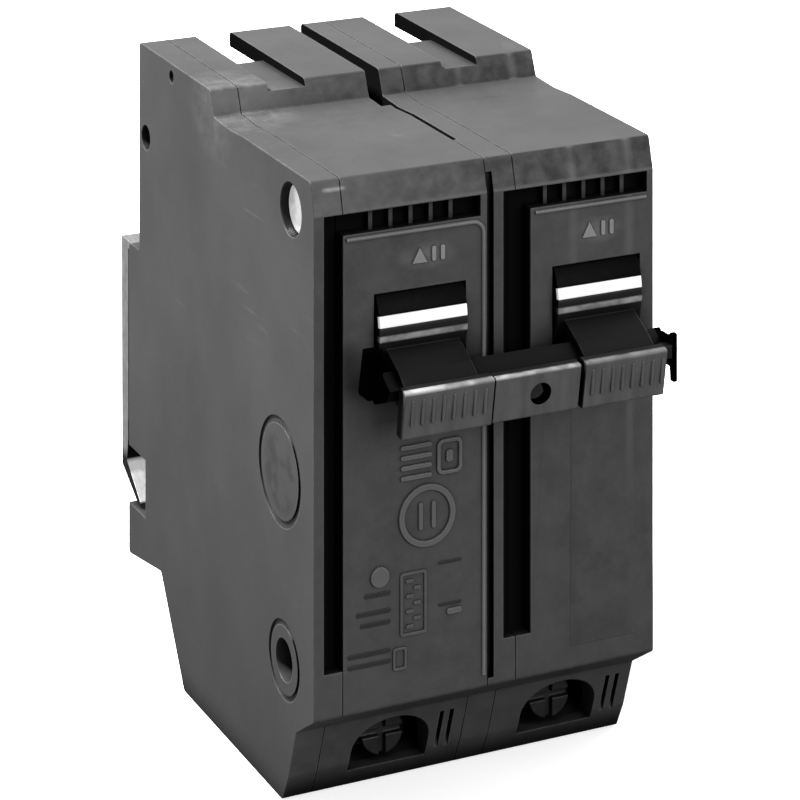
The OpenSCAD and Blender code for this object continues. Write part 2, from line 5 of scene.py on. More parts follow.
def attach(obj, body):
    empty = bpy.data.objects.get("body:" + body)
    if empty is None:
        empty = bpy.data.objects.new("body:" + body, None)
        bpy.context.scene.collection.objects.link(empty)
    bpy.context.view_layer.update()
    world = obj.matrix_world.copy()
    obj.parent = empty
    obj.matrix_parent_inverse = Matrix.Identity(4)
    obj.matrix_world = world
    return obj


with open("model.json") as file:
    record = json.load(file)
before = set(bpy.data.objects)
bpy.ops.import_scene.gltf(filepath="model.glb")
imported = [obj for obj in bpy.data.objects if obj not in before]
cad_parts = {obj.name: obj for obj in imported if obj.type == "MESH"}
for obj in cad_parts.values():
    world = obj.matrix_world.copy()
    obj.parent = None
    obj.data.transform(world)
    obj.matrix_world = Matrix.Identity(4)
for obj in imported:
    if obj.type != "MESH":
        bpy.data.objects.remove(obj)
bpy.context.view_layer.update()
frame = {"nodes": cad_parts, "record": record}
N = frame["nodes"]
MM = 0.001
# New pieces are drawn with y = 0 on the back plane of the case; the row's zero is the middle of the load end.
DY = 0.03375
PIV = Vector((0.0, -0.055, 0.0643))
OFF = math.radians(29.5)


# ------------------------------------------------------------------ materials
class Graph:
    def __init__(self, name):
        self.m = bpy.data.materials.new(name)
        self.m.use_nodes = True
        self.t = self.m.node_tree
        self.t.nodes.clear()
        self.out = self.t.nodes.new("ShaderNodeOutputMaterial")
        self.b = self.t.nodes.new("ShaderNodeBsdfPrincipled")
        self.t.links.new(self.b.outputs[0], self.out.inputs[0])
        tc = self.t.nodes.new("ShaderNodeTexCoord")
        self.co = tc.outputs["Object"]
        self.nrm = tc.outputs["Normal"]
        self.shade = None

    def n(self, kind, **props):
        node = self.t.nodes.new(kind)
        for k, v in props.items():
            setattr(node, k, v)
        return node

    def link(self, a, b):
        self.t.links.new(a, b)

    def val(self, sock, v):
        if hasattr(v, "is_linked") or isinstance(v, bpy.types.NodeSocket):
            self.link(v, sock)
        else:
            sock.default_value = v

    def math(self, op, a, b=0.0, clamp=False):
        n = self.n("ShaderNodeMath", operation=op, use_clamp=clamp)
        self.val(n.inputs[0], a)
        self.val(n.inputs[1], b)
        return n.outputs[0]

    def mul(self, first, *rest):
        for r in rest:
            first = self.math("MULTIPLY", first, r)
        return first

    def xyz(self, v):
        n = self.n("ShaderNodeSeparateXYZ")
        self.link(v, n.inputs[0])
        return n.outputs[0], n.outputs[1], n.outputs[2]

    def within(self, v, lo, hi, s):
        return self.math("MULTIPLY", self.remap(v, lo - s, lo + s, 0.0, 1.0), self.remap(v, hi - s, hi + s, 1.0, 0.0))

    def along(self, origin, axis):
        """Distance of the surface point from origin along axis, in metres."""
        a = self.n("ShaderNodeVectorMath", operation="SUBTRACT")
        self.link(self.co, a.inputs[0])
        a.inputs[1].default_value = origin
        d = self.n("ShaderNodeVectorMath", operation="DOT_PRODUCT")
        self.link(a.outputs[0], d.inputs[0])
        d.inputs[1].default_value = axis
        return d.outputs["Value"]

    def far(self, origin, flat=(1, 1, 1)):
        """Distance of the surface point from origin, with some axes flattened."""
        a = self.n("ShaderNodeVectorMath", operation="SUBTRACT")
        self.link(self.co, a.inputs[0])
        a.inputs[1].default_value = origin
        m = self.n("ShaderNodeVectorMath", operation="MULTIPLY")
        self.link(a.outputs[0], m.inputs[0])
        m.inputs[1].default_value = flat
        d = self.n("ShaderNodeVectorMath", operation="LENGTH")
        self.link(m.outputs[0], d.inputs[0])
        return d.outputs["Value"]

    def scaled(self, s):
        n = self.n("ShaderNodeMapping")
        self.link(self.co, n.inputs["Vector"])
        n.inputs["Scale"].default_value = s
        return n.outputs[0]

    def noise(self, scale, detail=3.0, rough=0.55, vec=None, dist=0.0):
        n = self.n("ShaderNodeTexNoise")
        self.link(vec or self.co, n.inputs["Vector"])
        n.inputs["Scale"].default_value = scale
        n.inputs["Detail"].default_value = detail
        n.inputs["Roughness"].default_value = rough
        n.inputs["Distortion"].default_value = dist
        return n.outputs["Fac"]

    def remap(self, v, a, b, c, d):
        n = self.n("ShaderNodeMapRange", clamp=True)
        self.val(n.inputs[0], v)
        for i, x in zip((1, 2, 3, 4), (a, b, c, d)):
            self.val(n.inputs[i], x)
        return n.outputs[0]

    def mix(self, f, a, b):
        n = self.n("ShaderNodeMix", data_type="RGBA")
        self.val(n.inputs[0], f)
        self.val(n.inputs[6], a)
        self.val(n.inputs[7], b)
        return n.outputs[2]

    def edge(self, radius, lo, hi):
        """0 on flats, 1 on sharp edges."""
        bv = self.n("ShaderNodeBevel", samples=4)
        bv.inputs[0].default_value = radius
        geo = self.n("ShaderNodeNewGeometry")
        d = self.n("ShaderNodeVectorMath", operation="DOT_PRODUCT")
        self.link(bv.outputs[0], d.inputs[0])
        self.link(geo.outputs["Normal"], d.inputs[1])
        return self.remap(self.math("SUBTRACT", 1.0, d.outputs["Value"]), lo, hi, 0.0, 1.0)

    def open_sky(self, dist, lo=0.36, hi=0.92):
        """1 on open faces, falling to 0 in grooves and corners."""
        n = self.n("ShaderNodeAmbientOcclusion", samples=6)
        n.inputs["Distance"].default_value = dist
        return self.remap(n.outputs["AO"], lo, hi, 0.0, 1.0)

    def bevel_normal(self, radius):
        bv = self.n("ShaderNodeBevel", samples=4)
        bv.inputs[0].default_value = radius
        return bv.outputs[0]

    def bump(self, height, strength, distance, normal=None):
        n = self.n("ShaderNodeBump")
        n.inputs["Strength"].default_value = strength
        n.inputs["Distance"].default_value = distance
        self.link(height, n.inputs["Height"])
        if normal is not None:
            self.link(normal, n.inputs["Normal"])
        return n.outputs[0]


def grey(v, a=1.0):
    return (v, v, v * 1.01, a)


def plastic(name, base, rough, wear_and_edge_highlight, edge_rub_and_highlight_amount, edge_r=0.00022, grain=1.0, spec=0.5, sky=0.0045, deep=0.10, layers=None, glow=0.0):
    g = Graph(name)
    big = g.noise(55, 3, 0.6)
    mid = g.noise(420, 4, 0.6)
    fine = g.noise(2600, 2, 0.6)
    micro = g.noise(7500, 2, 0.5)
    col = g.mix(g.remap(big, 0.3, 0.7, 0, 1), tuple(c * 0.86 for c in base[:3]) + (1,), tuple(c * 1.16 for c in base[:3]) + (1,))
    col = g.mix(g.remap(fine, 0.62, 0.8, 0, 0.35), col, tuple(min(1, c * 1.8) for c in base[:3]) + (1,))
    # rubbed edges, which also serve as a painted edge highlight, and a few pale scuffs
    edge_rub_and_highlight = g.math("MULTIPLY", g.edge(0.00045, 0.02, 0.35), g.remap(mid, 0.35, 0.65, 0.25, 1.0))
    col = g.mix(g.math("MULTIPLY", edge_rub_and_highlight, edge_rub_and_highlight_amount), col, wear_and_edge_highlight)
    scr = g.noise(260, 2, 0.5, g.scaled((1.0, 0.35, 6.0)), 0.6)
    scuff = g.math("MULTIPLY", g.remap(scr, 0.66, 0.74, 0, 1), g.remap(big, 0.5, 0.7, 0, 1))
    col = g.mix(g.math("MULTIPLY", scuff, 0.12), col, wear_and_edge_highlight)
    if layers:
        col = layers(g, col, mid)
    # a faint painted glow, for parts that must read bright in shade
    if glow:
        g.b.inputs["Emission Color"].default_value = (1, 1, 1, 1)
        g.b.inputs["Emission Strength"].default_value = glow
    if sky:
        # painted shade: grooves, creases and corners are darkened towards black, and lose their specular
        f = g.open_sky(sky, 0.40, 0.93)
        col = g.mix(f, tuple(c * deep for c in base[:3]) + (1,), col)
        sp = g.remap(f, 0.0, 1.0, 0.06, spec)
        if g.shade is not None:
            sp = g.math("MULTIPLY", sp, g.math("SUBTRACT", 1.0, g.shade))
        g.link(sp, g.b.inputs["Specular IOR Level"])
    else:
        g.b.inputs["Specular IOR Level"].default_value = spec
    g.link(col, g.b.inputs["Base Color"])
    r = g.math("ADD", g.remap(mid, 0.3, 0.7, rough - 0.05, rough + 0.06), g.remap(fine, 0.3, 0.7, -0.03, 0.03))
    r = g.math("ADD", r, g.math("MULTIPLY", scuff, 0.12))
    g.link(r, g.b.inputs["Roughness"])
    h = g.math("ADD", g.math("MULTIPLY", micro, 0.6), g.math("MULTIPLY", mid, 0.6))
    nrm = g.bump(h, 0.35 * grain, 0.00003, g.bevel_normal(edge_r))
    nrm = g.bump(g.noise(130, 2, 0.5), 0.25 * grain, 0.00012, nrm)
    g.link(nrm, g.b.inputs["Normal"])
    return g.m


def metal(name, base, rough, streak=(1, 1, 14), tarnish=None, edge_r=0.00012, tail=False, head=False):
    g = Graph(name)
    g.b.inputs["Metallic"].default_value = 1.0
    s = g.noise(900, 3, 0.6, g.scaled(streak))
    big = g.noise(240, 3, 0.6)
    fine = g.noise(5200, 2, 0.5)
    dark = tarnish or tuple(c * 0.6 for c in base[:3]) + (1,)
    col = g.mix(g.remap(big, 0.4, 0.75, 0, 0.7), base, dark)
    col = g.mix(g.remap(s, 0.35, 0.7, 0, 0.35), col, tuple(min(1, c * 1.15) for c in base[:3]) + (1,))
    g.link(col, g.b.inputs["Base Color"])
    r = g.math("ADD", g.remap(s, 0.3, 0.7, rough - 0.07, rough + 0.09), g.remap(big, 0.4, 0.7, 0, 0.12))
    g.link(r, g.b.inputs["Roughness"])
    if head:
        # painted light: the upper head glows bright as a painted highlight, and the lower head is painted dark as shade
        # in its hole
        x, y, z = g.xyz(g.co)
        g.b.inputs["Emission Color"].default_value = (1, 1, 1, 1)
        g.link(g.mul(g.remap(x, -0.0226, -0.0224, 1.0, 0.0), g.remap(z, 0.05, 0.06, 0.0, 1.0), g.remap(big, 0.3, 0.7, 0.30, 0.55)), g.b.inputs["Emission Strength"])
        g.link(g.mix(g.remap(z, 0.05, 0.06, 0.0, 1.0), grey(0.03), col), g.b.inputs["Base Color"])
    if tail:
        # painted reflection: the polished tail in the rail slot glows as if it reflected the studio, and the parts
        # beside it are painted dark as shade
        x, y, z = g.xyz(g.co)
        nx, ny, nz = g.xyz(g.nrm)
        bright = g.mul(g.within(z, 0.0200, 0.0244, 0.0003), g.remap(ny, -0.5, -0.3, 1.0, 0.0), g.remap(s, 0.3, 0.7, 0.7, 1.0))
        tail_shade = g.mul(g.remap(z, 0.0300, 0.0310, 1.0, 0.0), g.remap(ny, -0.5, -0.3, 1.0, 0.0), g.remap(y, 0.0402, 0.0408, 0.0, 1.0))
        edge = g.mul(g.remap(nx, -0.75, -0.60, 1.0, 0.0), g.remap(z, 0.0245, 0.0262, 1.0, 0.0))
        g.link(g.mix(g.math("MAXIMUM", tail_shade, edge), col, grey(0.01)), g.b.inputs["Base Color"])
        g.b.inputs["Emission Color"].default_value = (1, 1, 1, 1)
        g.link(g.math("MULTIPLY", bright, 0.55), g.b.inputs["Emission Strength"])
    h = g.math("ADD", g.math("MULTIPLY", s, 0.8), g.math("MULTIPLY", fine, 0.3))
    g.link(g.bump(h, 0.3, 0.00002, g.bevel_normal(edge_r)), g.b.inputs["Normal"])
    return g.m


def woven(name, base):
    g = Graph(name)
    g.b.inputs["Metallic"].default_value = 1.0
    a = g.n("ShaderNodeTexWave", wave_type="BANDS", bands_direction="DIAGONAL")
    g.link(g.co, a.inputs["Vector"])
    a.inputs["Scale"].default_value = 900
    b = g.n("ShaderNodeTexWave", wave_type="BANDS", bands_direction="DIAGONAL")
    g.link(g.scaled((1, -1, 1)), b.inputs["Vector"])
    b.inputs["Scale"].default_value = 900
    w = g.math("MULTIPLY", a.outputs["Fac"], b.outputs["Fac"])
    g.link(g.mix(w, tuple(c * 0.35 for c in base[:3]) + (1,), base), g.b.inputs["Base Color"])
    g.b.inputs["Roughness"].default_value = 0.38
    g.link(g.bump(w, 0.8, 0.0001), g.b.inputs["Normal"])
    return g.m


def case_layers(g, col, mid):
    """Painted shade in the slots, grooves, top band and towards the foot of the side walls; paler painted fronts,
    painted highlights and a few rubbed places.
    """
    x, y, z = g.xyz(g.co)
    nx, ny, nz = g.xyz(g.nrm)
    left = g.remap(nx, -0.75, -0.60, 1.0, 0.0)
    front = g.remap(ny, -0.60, -0.40, 1.0, 0.0)
    # painted fill light: the front-facing panels are painted a little paler, and blotchy
    panel = g.mul(front, g.remap(z, 0.0803, 0.0806, 1.0, 0.0), g.remap(g.noise(300, 3, 0.65), 0.36, 0.64, 0.05, 0.85))
    col = g.mix(panel, col, grey(0.069))
    # painted shade: near black on the prong faces in the slots, on the groove walls and on the groove floors
    slot = g.mul(left, g.remap(z, 0.0815, 0.0822, 0.0, 1.0), g.remap(x, -0.0246, -0.0242, 0.0, 1.0))
    wall = g.mul(left, g.within(y, -0.0279, -0.0255, 0.0001), g.remap(x, -0.0245, -0.0243, 0.0, 1.0), g.within(z, 0.0146, 0.0806, 0.0001))
    groove = g.mul(front, g.within(y, -0.0267, -0.0210, 0.0002), g.within(z, 0.0146, 0.0804, 0.0001))
    deep = g.math("MAXIMUM", g.math("MAXIMUM", slot, wall), groove)
    col = g.mix(g.math("MULTIPLY", deep, 0.95), col, grey(0.001))
    # painted shade: the band along the top of the front is painted darker, more so to the right
    band = g.mul(front, g.remap(z, 0.0806, 0.0809, 0.0, 1.0), g.remap(mid, 0.35, 0.65, 0.40, 0.90), g.remap(x, -0.022, 0.010, 0.15, 1.0))
    col = g.mix(band, col, grey(0.012))
    g.shade = g.math("MAXIMUM", deep, g.math("MULTIPLY", band, 0.5))
    # rubbed haze round the marks above the handles, and two painted highlight streaks on the right panel
    for cx in (-0.0089, 0.0166):
        haze = g.mul(front, g.remap(g.far((cx, 0, 0.0733), (0.55, 0, 1.3)), 0.0008, 0.0026, 1.0, 0.0), g.remap(mid, 0.35, 0.65, 0.35, 1.0))
        col = g.mix(g.math("MULTIPLY", haze, 0.75), col, grey(0.17))
    for cx, w, z0, z1 in ((0.0130, 0.0004, 0.0445, 0.0515), (0.0216, 0.0005, 0.0330, 0.0500)):
        streak = g.mul(front, g.within(x, cx - w, cx + w, 0.0005), g.remap(z, z0, z1, 0.0, 1.0))
        col = g.mix(g.math("MULTIPLY", streak, 0.6), col, grey(0.115))
    # painted shade: the left side walls get darker towards the bottom
    col = g.mix(g.mul(left, g.remap(z, 0.0, 0.052, 0.40, 0.0)), col, grey(0.002))
    # painted shade: near black on the front-facing walls inside the pocket at the bottom
    pocket = g.mul(front, g.within(y, -0.0174, -0.0163, 0.0001), g.remap(z, 0.0112, 0.0116, 1.0, 0.0))
    col = g.mix(g.math("MULTIPLY", pocket, 0.85), col, grey(0.002))
    # painted glint: a small bright dash on the front near the top-left corner
    corner_glint = g.mul(front, g.within(x, -0.0235, -0.0208, 0.0005), g.within(z, 0.08335, 0.0837, 0.0002), g.remap(mid, 0.35, 0.6, 0.5, 1.0))
    col = g.mix(corner_glint, col, grey(0.6))
    blot = g.mul(g.remap(g.far((-0.0212, -0.0262 + DY, 0.0855), (1, 0.8, 1)), 0.001, 0.0085, 1.0, 0.0), g.remap(mid, 0.35, 0.65, 0.2, 1.0))
    col = g.mix(g.math("MULTIPLY", blot, 0.8), col, grey(0.15))
    # shadowed wall of the upper rivet's recess
    cup = g.mul(g.within(g.far((0, -0.0544 + DY, 0.0794), (0, 1, 1)), 0.0033, 0.0039, 0.0001), g.within(x, -0.02515, -0.0230, 0.00005))
    col = g.mix(cup, col, grey(0.002))
    # blurred moulding inside the ring on the left side
    disc = g.mul(left, g.remap(g.far((0, -0.0507 + DY, 0.0434), (0, 1, 1)), 0.0046, 0.0060, 1.0, 0.0), g.remap(x, -0.0252, -0.0250, 1.0, 0.0))
    spots = g.remap(g.noise(330, 2, 0.5), 0.46, 0.60, 0.0, 1.0)
    col = g.mix(g.mul(disc, spots, 0.45), col, grey(0.012))
    return col


PADDLE = (0.0, -0.069796 + DY, 0.055929)
TURN = math.radians(8.0)


def handle_layers(g, col, mid):
    """Plate fronts painted matt grey as fill light, with a painted highlight along the lip; everything behind them gets
    painted shade, near black.
    """
    up = g.along(PADDLE, (0.0, -math.sin(TURN), math.cos(TURN)))
    out = g.along(PADDLE, (0.0, math.cos(TURN), math.sin(TURN)))
    x, y, z = g.xyz(g.co)
    # painted fill light: the plate fronts are painted a paler grey than the black handles
    plate = g.mul(g.remap(out, -0.0004, -0.0002, 1.0, 0.0), g.within(up, -0.0036, 0.0036, 0.0001), g.within(x, -0.0168, 0.0237, 0.0001))
    front = g.mix(g.remap(g.noise(600, 3, 0.6, g.scaled((1, 0.3, 0.25))), 0.35, 0.65, 0.0, 1.0), grey(0.085), grey(0.115))
    col = g.mix(plate, col, front)
    # painted highlight along the top lip of the plates, brighter on the left
    lip = g.mul(g.within(up, 0.00295, 0.0037, 0.00012), g.remap(out, -0.0002, 0.0, 1.0, 0.0), g.within(x, -0.0166, 0.0234, 0.0001))
    lip_glint_tone = g.mix(g.remap(x, 0.0085, 0.0100, 0.0, 1.0), grey(0.42), grey(0.17))
    col = g.mix(g.mul(lip, g.remap(g.noise(330, 2, 0.5), 0.42, 0.60, 0.30, 1.0)), col, lip_glint_tone)
    # painted highlight: a thin light line on the drum below the flag
    drum_glint = g.mul(g.within(z, 0.0643 - 0.00120, 0.0643 - 0.00045, 0.00012), g.remap(y, -0.0626 + DY, -0.0624 + DY, 1.0, 0.0), g.remap(g.noise(500, 2, 0.5), 0.35, 0.6, 0.45, 1.0))
    col = g.mix(drum_glint, col, grey(0.42))
    # painted shade: the hole through the tie plate is painted black inside
    hx = g.math("SUBTRACT", x, 0.0036)
    bore = g.remap(g.math("ADD", g.math("MULTIPLY", hx, hx), g.math("MULTIPLY", up, up)), 0.00153 ** 2, 0.00156 ** 2, 1.0, 0.0)
    col = g.mix(bore, col, grey(0.001))
    # painted shade: the drum above the flag and the two ends of the tie are painted black
    top = g.mul(g.remap(z, 0.0643 + 0.00205, 0.0643 + 0.00225, 0.0, 1.0), g.remap(y, -0.0648 + DY, -0.0642 + DY, 0.0, 1.0))
    ends = g.math("SUBTRACT", 1.0, g.within(x, -0.0170, 0.0238, 0.0001))
    black = g.math("MAXIMUM", top, ends)
    g.shade = g.math("MAXIMUM", g.math("MAXIMUM", g.math("MULTIPLY", black, 0.85), bore), ends)
    col = g.mix(g.math("MULTIPLY", black, 0.95), col, grey(0.001))
    col = g.mix(ends, col, grey(0.0003))
    return col


CASE = plastic("case_black", grey(0.050), 0.44, grey(0.22), 0.6, layers=case_layers)
COVER = plastic("cover_black", grey(0.050), 0.46, grey(0.22), 0.6, layers=case_layers)
HANDLE = plastic("handle_black", grey(0.009), 0.42, grey(0.10), 0.5, edge_r=0.0002, grain=0.7, spec=0.25, layers=handle_layers)
# pale grey for the edge beads, a painted edge highlight
BEAD = plastic("bead_grey", grey(0.15), 0.45, grey(0.4), 0.7, edge_r=0.00008, sky=0)
# the white flag glows faintly, a painted light, so it stays white in the handles' shade
FLAG = plastic("flag_white", grey(0.93), 0.35, grey(0.99), 0.1, grain=0.3, sky=0, glow=0.35)
TRIP = plastic("trip_red", (0.30, 0.05, 0.035, 1), 0.4, (0.5, 0.2, 0.15, 1), 0.4)
FIBRE = plastic("fibre_sheet", (0.52, 0.42, 0.28, 1), 0.7, (0.7, 0.6, 0.45, 1), 0.3)
RIVET = metal("rivet_steel", grey(0.86), 0.24, (1, 1, 1), head=True)
SPRING = metal("spring_steel", grey(0.50), 0.36, (14, 1, 1))
# the terminal screws are painted very dark, as shade in their openings
SCREW = metal("screw_steel", grey(0.045), 0.5, (1, 6, 1))
PLATED = metal("plated_steel", grey(0.46), 0.40, (1, 6, 1))
COPPER = metal("copper_strap", (0.80, 0.42, 0.26, 1), 0.32, (1, 1, 10), (0.42, 0.20, 0.12, 1))
SILVER = metal("silver_contact", grey(0.9), 0.22, (1, 1, 1))
BIMETAL = metal("bimetal_strip", (0.62, 0.56, 0.47, 1), 0.3, (1, 1, 16))
BRAID = woven("copper_braid", (0.82, 0.44, 0.26, 1))

LOOK = {
    "case": CASE, "handle": HANDLE, "flag_white": FLAG, "rivet_steel": RIVET, "spring_steel": SPRING,
    "plated_steel": PLATED, "copper": COPPER, "silver": SILVER, "bimetal": BIMETAL, "fibre": FIBRE, "trip_bar": TRIP,
}
CLIP = metal("rail_clip_steel", grey(0.66), 0.36, (14, 1, 1), tail=True)
slots = {s["node"]: s["material_slot"] for s in frame["record"]["subparts"]}


def dress(o, material):
    if not o.material_slots:
        o.data.materials.append(material)
    for s in o.material_slots:
        s.link = "OBJECT"
        s.material = material


BEVEL = {
    "case_base_left": 0.30, "case_base_right": 0.30, "case_cover_left": 0.30, "case_cover_right": 0.30,
    "handle_left": 0.22, "handle_right": 0.22, "handle_tie": 0.25, "handle_tie_clip": 0.22,
    "through_rivets": 0.35, "terminal_screw_left": 0.2, "terminal_screw_right": 0.2,
}
for name, o in N.items():
    m = LOOK[slots[name]]
    if name.startswith("case_cover"):
        m = COVER
    if name.startswith("braid"):
        m = BRAID
    if name.startswith("terminal_"):
        m = SCREW
    if name.startswith("rail_clip"):
        m = CLIP
    dress(o, m)
    w = o.modifiers.new("weld", "WELD")
    w.merge_threshold = 0.000002
    if name in BEVEL:
        d = o.modifiers.new("flat", "DECIMATE")
        d.decimate_type = "DISSOLVE"
        d.angle_limit = math.radians(0.6)
        b = o.modifiers.new("round", "BEVEL")
        b.width = BEVEL[name] * MM
        b.segments = 3
        b.limit_method = "ANGLE"
        b.angle_limit = math.radians(38)
        b.use_clamp_overlap = True
        b.miter_outer = "MITER_ARC"
        b.harden_normals = False


# ------------------------------------------------------------------ new pieces
def obj_from_bm(name, bm, material, body, smooth=40, bevel=0.0, seg=2):
    bmesh.ops.transform(bm, matrix=Matrix.Translation((0, DY, 0)), verts=bm.verts)
    me = bpy.data.meshes.new(name)
    bmesh.ops.recalc_face_normals(bm, faces=bm.faces)
    bm.to_mesh(me)
    bm.free()
    o = bpy.data.objects.new(name, me)
    bpy.context.scene.collection.objects.link(o)
    o.data.materials.append(material)
    if bevel:
        b = o.modifiers.new("round", "BEVEL")
        b.width = bevel * MM
        b.segments = seg
        b.limit_method = "ANGLE"
        b.angle_limit = math.radians(40)
    for p in me.polygons:
        p.use_smooth = True
    try:
        me.set_sharp_from_angle(angle=math.radians(smooth))
    except Exception:
        pass
    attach(o, body)
    return o


def prism(bm, pts, y0, y1):
    """Closed outline pts (x, z) in mm, from y0 to y1 in mm."""
    a = [bm.verts.new((x * MM, y0 * MM, z * MM)) for x, z in pts]
    b = [bm.verts.new((x * MM, y1 * MM, z * MM)) for x, z in pts]
    n = len(pts)
    bm.faces.new(a)
    bm.faces.new(b[::-1])
    for i in range(n):
        bm.faces.new((a[i], b[i], b[(i + 1) % n], a[(i + 1) % n]))


def rrect(cx, cz, w, h, r, n=5):
    pts = []
    for sx, sz, a0 in ((1, 1, 0), (-1, 1, 90), (-1, -1, 180), (1, -1, 270)):
        for k in range(n + 1):
            a = math.radians(a0 + 90 * k / n)
            pts.append((cx + sx * (w / 2 - r) + r * math.cos(a), cz + sz * (h / 2 - r) + r * math.sin(a)))
    return pts


def frame_ring(bm, outer, inner, y0, y1):
    """A ring between two outlines with the same number of points."""
    n = len(outer)
    v = [[bm.verts.new((x * MM, y * MM, z * MM)) for x, z in pts] for pts in (outer, inner) for y in (y0, y1)]
    o0, o1, i0, i1 = v
    for k in range(n):
        j = (k + 1) % n
        bm.faces.new((o0[k], o0[j], i0[j], i0[k]))
        bm.faces.new((o1[j], o1[k], i1[k], i1[j]))
        bm.faces.new((o0[j], o0[k], o1[k], o1[j]))
        bm.faces.new((i0[k], i0[j], i1[j], i1[k]))


def circle(cx, cz, r, n=40):
    return [(cx + r * math.cos(2 * math.pi * k / n), cz + r * math.sin(2 * math.pi * k / n)) for k in range(n)]


FY = -62.0
MARK = plastic("mark_grey", grey(0.105), 0.5, grey(0.3), 0.5, edge_r=0.00008, sky=0)
INK = plastic("mark_dark", grey(0.012), 0.5, grey(0.06), 0.3, edge_r=0.00008, sky=0)

# plain raised shapes on the left panel: a plaque of bars with a blank square, and a ring with two bars
bm = bmesh.new()
for k in range(4):
    prism(bm, rrect(-10.6, 48.3 - 1.35 * k, 4.6, 0.62, 0.28, 3), FY - 0.26, FY + 0.1)
frame_ring(bm, rrect(-5.7, 46.3, 3.7, 4.7, 0.9), rrect(-5.7, 46.3, 2.7, 3.7, 0.5), FY - 0.3, FY + 0.1)
prism(bm, rrect(-5.7, 46.3, 1.0, 1.6, 0.35, 3), FY - 0.26, FY + 0.1)
frame_ring(bm, circle(-9.0, 38.9, 4.15), circle(-9.0, 38.9, 3.35), FY - 0.3, FY + 0.1)
for dx in (-0.95, 0.95):
    prism(bm, rrect(-9.0 + dx, 38.9, 0.62, 3.6, 0.28, 3), FY - 0.26, FY + 0.1)
prism(bm, circle(-15.9, 31.9, 1.35, 28), FY - 0.3, FY + 0.1)
prism(bm, rrect(-5.0, 25.6, 2.2, 0.8, 0.3, 3), FY - 0.24, FY + 0.1)
obj_from_bm("panel_marks", bm, MARK, "case", bevel=0.08)

# dark pad-printed bars below them, and a small ladder grid
bm = bmesh.new()
for z, w in ((29.6, 3.8), (27.3, 5.0), (25.8, 4.4), (22.0, 6.2), (20.6, 6.2)):
    prism(bm, rrect(-14.3 - w / 2, z, w, 0.62, 0.25, 3), FY - 0.07, FY + 0.1)
for z in (32.2, 26.6):
    prism(bm, rrect(-5.6, z, 3.4, 0.4, 0.15, 3), FY - 0.07, FY + 0.1)
obj_from_bm("panel_bars", bm, INK, "case", bevel=0.03)

bm = bmesh.new()
frame_ring(bm, rrect(-11.0, 27.6, 3.9, 8.4, 0.4), rrect(-11.0, 27.6, 3.1, 7.6, 0.2), FY - 0.2, FY + 0.1)
for k in range(7):
    prism(bm, rrect(-11.0 + (0.55 if k % 2 else -0.55), 24.6 + k, 1.1, 0.5, 0.2, 3), FY - 0.2, FY + 0.1)
frame_ring(bm, rrect(-13.0, 20.6, 2.0, 3.0, 0.4), rrect(-13.0, 20.6, 1.3, 2.3, 0.2), FY - 0.2, FY + 0.1)
obj_from_bm("panel_grid", bm, plastic("grid_black", grey(0.07), 0.5, grey(0.2), 0.5, edge_r=0.00008, sky=0), "case", bevel=0.06)

# a triangle and two bars above each handle point to the closed position
bm = bmesh.new()
for cx in (-8.9, 16.6):
    prism(bm, [(cx - 2.3, 72.5), (cx - 0.1, 72.5), (cx - 1.2, 74.5)], FY - 0.24, FY + 0.1)
    prism(bm, rrect(cx + 0.9, 73.5, 0.62, 2.0, 0.28, 3), FY - 0.24, FY + 0.1)
    prism(bm, rrect(cx + 2.2, 73.5, 0.62, 2.0, 0.28, 3), FY - 0.24, FY + 0.1)
obj_from_bm("throw_marks", bm, plastic("throw_grey", grey(0.26), 0.5, grey(0.5), 0.5, edge_r=0.00008, sky=0), "case", bevel=0.06)

# thin raised beads along the top and right edges of the left panel and the top of the right one, painted pale grey as a
# painted edge highlight
def bead(bm, pts, w, proud):
    """A round-topped bead along the open line pts (x, z) in mm, on the front plane."""
    prof = [(-w / 2, 0.1), (-w / 2, -proud * 0.45), (-w * 0.28, -proud * 0.9), (0, -proud), (w * 0.28, -proud * 0.9), (w / 2, -proud * 0.45), (w / 2, 0.1)]
    rows = []
    for i, (x, z) in enumerate(pts):
        a = Vector(pts[max(i - 1, 0)])
        b = Vector(pts[min(i + 1, len(pts) - 1)])
        t = (b - a).normalized()
        nrm = Vector((t.y, -t.x))
        rows.append([bm.verts.new(((x + nrm.x * u) * MM, (FY + v) * MM, (z + nrm.y * u) * MM)) for u, v in prof])
    for r0, r1 in zip(rows, rows[1:]):
        for k in range(len(prof)):
            j = (k + 1) % len(prof)
            bm.faces.new((r0[k], r0[j], r1[j], r1[k]))
    bm.faces.new(rows[0])
    bm.faces.new(rows[-1][::-1])


def corner(cx, cz, r, a0, a1, n=6):
    return [(cx + r * math.cos(math.radians(a0 + (a1 - a0) * k / n)), cz + r * math.sin(math.radians(a0 + (a1 - a0) * k / n))) for k in range(n + 1)]


bm = bmesh.new()
bead(bm, [(-20.7, 76.85)] + corner(-2.2, 75.25, 1.6, 90, 0) + [(-0.6, 16.2)], 0.55, 0.32)
bead(bm, [(7.2, 76.85), (24.2, 76.85)], 0.5, 0.28)
obj_from_bm("panel_beads", bm, BEAD, "case", smooth=60)

